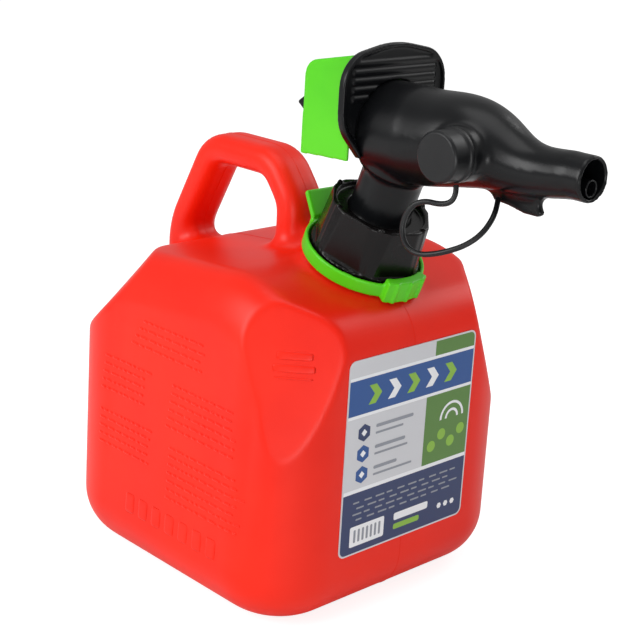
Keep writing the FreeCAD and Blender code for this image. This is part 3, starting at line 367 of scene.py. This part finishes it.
def revolved(profile, steps, place):  # a closed profile of radius and height turned about a place's own Z
    mesh = bmesh.new()
    rings = []
    for step in range(steps):
        angle = 2 * math.pi * step / steps
        rings.append([mesh.verts.new(spotOn(place, r, h, angle)) for r, h in profile])
    count = len(profile)
    for step in range(steps):
        near, far = rings[step], rings[(step + 1) % steps]
        for index in range(count):
            following = (index + 1) % count
            mesh.faces.new((near[index], far[index], far[following], near[following]))
    return mesh


def neckWall():  # the neck's rounded tube with its thread
    bore, outer, top, lip = neck["bore"], neck["outside"], neck["length"], neck["lip"]
    arc = [(outer - lip + lip * math.sin(math.radians(a)), top - lip + lip * math.cos(math.radians(a)))
           for a in range(90, -1, -15)]
    back = [(bore + lip - lip * math.sin(math.radians(a)), top - lip + lip * math.cos(math.radians(a)))
            for a in range(0, 91, 15)]
    mesh = revolved([(outer, neck["root"])] + arc + back + [(bore, neck["root"])], neck["steps"], neckFrame)
    turns = (thread["high"] - thread["low"]) / thread["pitch"]
    half, root = thread["wide"] / 2, outer - thread["sunk"]
    flat = half * thread["crest"]
    rows = []
    for step in range(int(thread["steps"] * turns) + 1):
        turn = step / thread["steps"]
        fade = min(1.0, turn * thread["fade"], (turns - turn) * thread["fade"])
        height = thread["low"] + turn * thread["pitch"]
        crest = outer + thread["deep"] * max(fade, 0.02)
        section = [(root, height - half), (crest, height - flat),
                   (crest, height + flat), (root, height + half)]
        rows.append([mesh.verts.new(spotOn(neckFrame, r, h, 2 * math.pi * turn)) for r, h in section])
    for first, second in zip(rows, rows[1:]):
        for index in range(len(first) - 1):
            mesh.faces.new((first[index], second[index], second[index + 1], first[index + 1]))
    mesh.faces.new(rows[0])
    mesh.faces.new(list(reversed(rows[-1])))
    return mesh


def meshOf(name, solid, finish, smoothAngle=35):  # a finished mesh from a bmesh
    bmesh.ops.recalc_face_normals(solid, faces=solid.faces)
    mesh = bpy.data.meshes.new(name)
    solid.to_mesh(mesh)
    mesh.shade_smooth()
    mesh.set_sharp_from_angle(angle=math.radians(smoothAngle))
    mesh.materials.append(finish)
    return mesh


placed("neckThread", meshOf("neckThread", neckWall(), redPolyethylene), "can", "can")
print("neck ready")


# ---- the mould's parting seam, round the can and its handle in the middle plane
seam = {"wide": 0.9, "high": 0.22, "sunk": 0.15}
half = skin.copy()
loopEdges = cutAway(half, (0, 0, 0), (0, -1, 0))
aside = Vector((0, mm(seam["wide"]) / 2, 0))
seamMesh = bmesh.new()
made = {}
for edge in loopEdges:
    ends = []
    for vertex in edge.verts:
        if vertex not in made:
            normal = Vector((vertex.normal.x, 0, vertex.normal.z)).normalized()
            place = Vector((vertex.co.x, 0, vertex.co.z))
            low, high = place - normal * mm(seam["sunk"]), place + normal * mm(seam["high"])
            made[vertex] = [seamMesh.verts.new(spot) for spot in (low - aside, high, low + aside)]
        ends.append(made[vertex])
    for index in range(2):
        seamMesh.faces.new((ends[0][index], ends[1][index], ends[1][index + 1], ends[0][index + 1]))
placed("partingSeam", meshOf("partingSeam", seamMesh, redPolyethylene, 80), "can", "can")
print("seam ready, edges", len(loopEdges))


# ---- raised dashes on the can's side and corner facet
def raisedBars(name, bars, finish):  # rounded bars, each with its spot, directions and size
    points = bpy.data.meshes.new(name + "Points")
    points.from_pydata([list(bar["spot"]) for bar in bars], [], [])
    for label in ("along", "out", "size"):
        field = points.attributes.new(label, "FLOAT_VECTOR", "POINT")
        for value, bar in zip(field.data, bars):
            value.vector = bar[label]
    tree = groupOf(name)
    block = add(tree, "GeometryNodeMeshCube", {
        "Size": (1, 1, 1), "Vertices X": 4, "Vertices Y": 4, "Vertices Z": 2})
    pillow = add(tree, "GeometryNodeSubdivisionSurface", {"Mesh": block.outputs["Mesh"], "Level": 1})
    along = add(tree, "GeometryNodeInputNamedAttribute", {"Name": "along"}, data_type="FLOAT_VECTOR")
    out = add(tree, "GeometryNodeInputNamedAttribute", {"Name": "out"}, data_type="FLOAT_VECTOR")
    size = add(tree, "GeometryNodeInputNamedAttribute", {"Name": "size"}, data_type="FLOAT_VECTOR")
    turn = add(tree, "FunctionNodeAxesToRotation", {
        "Primary Axis": out.outputs[0], "Secondary Axis": along.outputs[0],
    }, primary_axis="Z", secondary_axis="X")
    dots = add(tree, "GeometryNodeMeshToPoints", {0: add(tree, "NodeGroupInput").outputs[0]})
    rows = add(tree, "GeometryNodeInstanceOnPoints", {
        "Points": dots.outputs[0], "Instance": pillow.outputs["Mesh"],
        "Rotation": turn.outputs[0], "Scale": size.outputs[0]})
    real = add(tree, "GeometryNodeRealizeInstances", {0: rows.outputs[0]})
    coat = add(tree, "GeometryNodeSetMaterial", {"Geometry": real.outputs[0], "Material": finish})
    add(tree, "NodeGroupOutput", {0: coat.outputs[0]})
    item = bpy.data.objects.new(name, points)
    bpy.context.scene.collection.objects.link(item)
    mesh = baked(item, tree)
    bpy.data.objects.remove(item)
    mesh.shade_smooth()
    return mesh


surface = BVHTree.FromBMesh(skin)


def sideBar(across, rise, length, width, high):  # a bar on the can's near side, half sunk in the skin
    start = Vector((mm(across), -0.2, mm(rise)))
    spot, normal = surface.ray_cast(start, Vector((0, 1, 0)))[:2]
    along = Vector((0, 0, 1)).cross(normal)
    return {"spot": spot, "along": along, "out": normal, "size": (mm(length), mm(width), mm(high * 2))}


# blocks of short dashes: left, right, lowest row, rows, and how much each end steps in per row
dashBlocks = [(-52, -10, 92.0, 5, 0.5, 0.0), (2, 62, 87.0, 6, 0.6, 1.0), (-52, -4, 62.0, 5, 0.0, 0.0),
              (6, 66, 50.0, 7, 0.0, 0.2), (-30, 34, 122.0, 4, 3.0, 1.5)]
dash = {"pitch": 4.4, "wide": 1.3, "high": 0.4, "gap": 1.3, "short": 1.8, "long": 6.5}
pads = {"count": 7, "first": -22.0, "pitch": 11.0, "rise": 36.0, "length": 7.5, "wide": 11.0, "high": 0.3}
rng = random.Random(7)
sideBars = []
for left, right, low, rows, stepLeft, stepRight in dashBlocks:
    for row in range(rows):
        across = left + row * stepLeft
        while across < right - row * stepRight - dash["long"]:
            length = rng.uniform(dash["short"], dash["long"])
            rise = low + row * dash["pitch"]
            sideBars.append(sideBar(across + length / 2, rise, length, dash["wide"], dash["high"]))
            across += length + dash["gap"]
for number in range(pads["count"]):  # a row of broad pads near the base
    across = pads["first"] + number * pads["pitch"]
    sideBars.append(sideBar(across, pads["rise"], pads["length"], pads["wide"], pads["high"]))
placed("sideMarks", raisedBars("sideMarks", sideBars, redPolyethylene), "can", "can")

facetOut = facetWay(-1)
facetAlong = Vector((-facetOut.y, facetOut.x, 0)).normalized()
facetUp = facetOut.cross(facetAlong)
facetLines = [(18, 108.5, 4.0), (21, 102.5, 4.0), (19, 98.0, 1.1)]  # length, rise and width of each bar
facetBars = []
for length, rise, width in facetLines:
    spot = facetOut * facet["reach"] + facetUp * rise + facetAlong * facet["linesAside"]
    facetBars.append({"spot": [mm(value) for value in spot], "along": facetAlong, "out": facetOut,
                      "size": (mm(length), mm(width), mm(facet["high"] * 2))})
placed("facetMarks", raisedBars("facetMarks", facetBars, redPolyethylene), "can", "can")
print("raised marks ready")


# ---- the label's print, in ink patches on the film
film = {"face": 91.7, "low": 36.1, "tall": 102.7, "wide": 89.9, "inset": 0.9, "corner": 3.2, "ink": 0.03}
inks = [inkBlue, inkNavy, inkGreen, inkPale, inkGrey, inkLime]
printSolid = bmesh.new()


def patch(ink, points, level):  # one flat ink shape, its points across and up from the label's lower left
    place = mm(film["face"] + film["ink"] * level)
    spots = [(place, mm(across - film["wide"] / 2), mm(film["low"] + rise)) for across, rise in points]
    face = printSolid.faces.new([printSolid.verts.new(spot) for spot in spots])
    face.material_index = inks.index(ink)


def bend(x, y, radius, start, end, step):  # points along an arc, angles in degrees
    turns = [math.radians(angle) for angle in range(start, end, step)]
    return [(x + radius * math.cos(turn), y + radius * math.sin(turn)) for turn in turns]


def panel(left, low, right, high, corners=(0, 0, 0, 0)):  # a block outline, corners from lower left round
    points = []
    ends = ((left, low, 180), (right, low, 270), (right, high, 0), (left, high, 90))
    for (x, y, start), radius in zip(ends, corners):
        radius = max(radius, 0.01)
        inX = x + (radius if x == left else -radius)
        inY = y + (radius if y == low else -radius)
        points += bend(inX, inY, radius, start, start + 91, 15)
    return points


def polygon(x, y, radius, sides, first=0):  # a regular shape, its first corner at an angle in degrees
    return bend(x, y, radius, first, first + 360, 360 // sides)


left, corner = film["inset"], film["corner"]
right, top = film["wide"] - film["inset"], film["tall"] - film["inset"]
bands = {"foot": 33.5, "body": 35.5, "waist": 72.9, "belt": 74.5, "beltTop": 92.5, "head": 94.1}
patch(inkBlue, panel(left, bands["belt"], right, bands["beltTop"]), 1)
patch(inkPale, panel(left, bands["waist"], right, bands["belt"]), 1)
patch(inkPale, panel(left, bands["beltTop"], right, bands["head"]), 1)
patch(inkNavy, panel(left, left, right, bands["foot"], (corner, corner, 0, 0)), 1)
patch(inkGreen, panel(56.0, bands["body"], right, bands["waist"]), 1)
patch(inkGreen, panel(60.0, bands["head"], right, top, (0, 0, corner, 0)), 1)
patch(inkPale, panel(left, bands["foot"], right, bands["body"]), 1)

chevron = {"first": 14.0, "pitch": 13.5, "low": 78.5, "half": 5.0, "wide": 5.0, "point": 4.0}
for number in range(5):  # chevrons along the belt
    x = chevron["first"] + number * chevron["pitch"]
    low, middle, high = [chevron["low"] + step * chevron["half"] for step in (0, 1, 2)]
    outer, tip = x + chevron["wide"], chevron["point"]
    patch(inkPale if number % 2 else inkLime,
          [(x, low), (outer, low), (outer + tip, middle), (outer, high), (x, high), (x + tip, middle)], 2)

badge = {"x": 12.5, "top": 64.5, "pitch": 11.0, "radius": 4.6, "core": 0.42, "lines": 20.5}
for number in range(3):  # six-sided badges, each with two grey lines
    x, y = badge["x"], badge["top"] - number * badge["pitch"]
    patch(inkBlue if number else inkNavy, polygon(x, y, badge["radius"], 6, 30), 2)
    patch(inkPale, polygon(x, y, badge["radius"] * badge["core"], 4), 3)
    patch(inkGrey, panel(badge["lines"], y + 0.8, 47 - 5 * number, y + 2.6, (0.9,) * 4), 2)
    patch(inkGrey, panel(badge["lines"], y - 2.6, 40 + 4 * number, y - 1.4, (0.5,) * 4), 2)

for number in range(4):  # dots on the green field
    patch(inkLime, polygon(62 + 7.2 * number, 45 + 5.2 * (number % 2), 3.0, 24), 2)
rainbow = {"x": 76, "y": 58, "radii": (5.0, 9.0), "wide": 1.4}
for radius in rainbow["radii"]:  # half rings above the dots
    arc = bend(rainbow["x"], rainbow["y"], radius, 0, 181, 12)
    patch(inkPale, arc + bend(rainbow["x"], rainbow["y"], radius - rainbow["wide"], 0, 181, 12)[::-1], 2)

dashes = {"top": 27.6, "drop": 3.1, "left": 8.0, "pitch": 7.8, "stagger": 2.4, "end": 80.0, "length": 4.2}
for row in range(4):  # staggered grey dashes on the navy foot
    y = dashes["top"] - row * dashes["drop"]
    for column in range(10):
        x = dashes["left"] + column * dashes["pitch"] + (row % 2) * dashes["stagger"]
        if x < dashes["end"]:
            patch(inkGrey, panel(x, y, x + dashes["length"] + (column + row) % 3, y + 0.9, (0.4,) * 4), 2)
patch(inkPale, panel(7, 4.4, 31, 15.4, (1,) * 4), 2)
for number in range(7):
    x = 9.6 + number * 2.9
    patch(inkGrey, panel(x, 6.4, x + 1.5, 13.4, (0.7,) * 4), 3)
patch(inkPale, panel(38, 10.6, 63, 14.6, (1,) * 4), 2)
patch(inkLime, panel(38, 5.6, 57, 8.6, (1,) * 4), 2)
for number in range(3):
    patch(inkPale, polygon(72 + number * 5.0, 9.5, 1.7, 6), 2)
printMesh = bpy.data.meshes.new("labelPrint")
printSolid.to_mesh(printMesh)
for ink in inks:
    printMesh.materials.append(ink)
placed("labelPrint", printMesh, "can", "label")
print("label print ready, patches", len(printMesh.polygons))


# ---- the return spring, a coil of round wire
spring = {"start": 29.0, "end": 59.3, "radius": 6.0, "wire": 0.6, "turns": 6.0, "height": 241.1}
springTree = groupOf("springCoil")
spiral = add(springTree, "GeometryNodeCurveSpiral", {
    "Resolution": 32, "Rotations": spring["turns"], "Start Radius": mm(spring["radius"]),
    "End Radius": mm(spring["radius"]), "Height": mm(spring["end"] - spring["start"])})
wireRing = add(springTree, "GeometryNodeCurvePrimitiveCircle", {
    "Resolution": 12, "Radius": mm(spring["wire"])})
coil = add(springTree, "GeometryNodeCurveToMesh", {
    "Curve": spiral.outputs[0], "Profile Curve": wireRing.outputs[0], "Fill Caps": True})
stood = add(springTree, "GeometryNodeTransform", {
    "Geometry": coil.outputs[0], "Translation": (mm(spring["start"]), 0, mm(spring["height"])),
    "Rotation": (0, math.pi / 2, 0)})
bright = add(springTree, "GeometryNodeSetMaterial", {"Geometry": stood.outputs[0], "Material": springSteel})
add(springTree, "NodeGroupOutput", {0: bright.outputs[0]})
holder = bpy.data.objects.new("springHolder", bpy.data.meshes.new("springHolder"))
bpy.context.scene.collection.objects.link(holder)
springMesh = baked(holder, springTree)
bpy.data.objects.remove(holder)
springMesh.shade_smooth()
springPiece = placed("returnSpring", springMesh, "spout", "spring", "return_spring")
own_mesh(springPiece)
print("spring ready")

# ---- the tether of the dust cap, a free strap of round section
tetherSizes = {"width": mm(2.6), "rings": 12}
tetherPoints = [
    (128.8, -23.6, 228.8), (130.0, -24.3, 225.3), (128.6, -25.9, 221.0), (123.6, -28.0, 219.6),
    (117.5, -30.5, 220.3), (111.9, -32.5, 217.6), (108.7, -33.9, 211.4), (108.3, -34.6, 204.6),
    (111.2, -34.4, 198.6), (116.6, -33.2, 195.9), (123.2, -31.4, 196.8), (130.9, -28.6, 199.6),
    (137.9, -24.6, 203.4), (142.2, -19.4, 208.6), (142.8, -13.6, 214.6), (140.2, -7.8, 219.4),
    (136.6, -3.2, 221.6),
]
strapCurve = bpy.data.curves.new("capStrap", "CURVE")
strapCurve.dimensions = "3D"
strapCurve.bevel_depth = tetherSizes["width"] / 2
strapCurve.bevel_resolution = tetherSizes["rings"] // 4
strapCurve.resolution_u = 12
strapCurve.use_fill_caps = True
strapLine = strapCurve.splines.new("NURBS")
strapLine.points.add(len(tetherPoints) - 1)
for point, place in zip(strapLine.points, tetherPoints):
    point.co = [mm(value) for value in place] + [1]
strapLine.order_u = 3
strapLine.use_endpoint_u = True
capStrap = bpy.data.objects.new("capStrap", strapCurve)
bpy.context.scene.collection.objects.link(capStrap)
strapCurve.materials.append(blackElastomer)
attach(capStrap, "spout")
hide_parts("cap_tether")
print("tether ready")

# ---- floor, backdrop and light
floorMesh = bpy.data.meshes.new("floor")
reach = 6.0
floorCorners = [(-reach, -reach, 0), (reach, -reach, 0), (reach, reach, 0), (-reach, reach, 0)]
floorMesh.from_pydata(floorCorners, [], [(0, 1, 2, 3)])
floor = bpy.data.objects.new("floor", floorMesh)
bpy.context.scene.collection.objects.link(floor)
floorPaint = bpy.data.materials.new("matt white backdrop")
floorPaint.use_nodes = True
floorTree = floorPaint.node_tree
floorTree.nodes.clear()
rays = add(floorTree, "LightPath")
matt = add(floorTree, "BsdfDiffuse", {"Color": (0.82, 0.82, 0.82, 1)})
faint = add(floorTree, "BsdfDiffuse", {"Color": (0.42, 0.42, 0.42, 1)})
lift = add(floorTree, "Emission", {"Color": (1, 1, 1, 1), "Strength": 0.84})
shown = add(floorTree, "AddShader", {0: faint.outputs[0], 1: lift.outputs[0]})
both = add(floorTree, "MixShader", {
    0: rays.outputs["Is Camera Ray"], 1: matt.outputs[0], 2: shown.outputs[0]})
add(floorTree, "OutputMaterial", {"Surface": both.outputs[0]})
floorMesh.materials.append(floorPaint)

world = bpy.data.worlds.new("studio")
bpy.context.scene.world = world
world.use_nodes = True
worldTree = world.node_tree
worldTree.nodes.clear()
worldRays = add(worldTree, "LightPath")
soft = add(worldTree, "Background", {"Color": (1, 1, 1, 1), "Strength": 0.45})
plain = add(worldTree, "Background", {"Color": (1, 1, 1, 1), "Strength": 1.0})
choice = add(worldTree, "MixShader", {
    0: worldRays.outputs["Is Camera Ray"], 1: soft.outputs[0], 2: plain.outputs[0]})
add(worldTree, "OutputWorld", {"Surface": choice.outputs[0]})

lamps = {
    "key": {"place": (-0.35, -1.3, 0.75), "size": 0.8, "power": 13.0},
    "facet": {"place": (0.80, -0.62, 0.10), "size": 0.34, "power": 2.6},
    "top": {"place": (0.1, -0.1, 1.5), "size": 0.9, "power": 5.0},
    "rim": {"place": (0.3, 1.3, 1.1), "size": 0.8, "power": 6.0},
}
for name, lamp in lamps.items():
    light = bpy.data.lights.new(name, "AREA")
    light.size = lamp["size"]
    light.energy = lamp["power"]
    item = bpy.data.objects.new(name, light)
    item.location = lamp["place"]
    item.rotation_euler = (Vector((0.02, 0, 0.13)) - item.location).to_track_quat("-Z", "Y").to_euler()
    bpy.context.scene.collection.objects.link(item)
bpy.context.scene.view_settings.view_transform = "Standard"
print("studio ready")
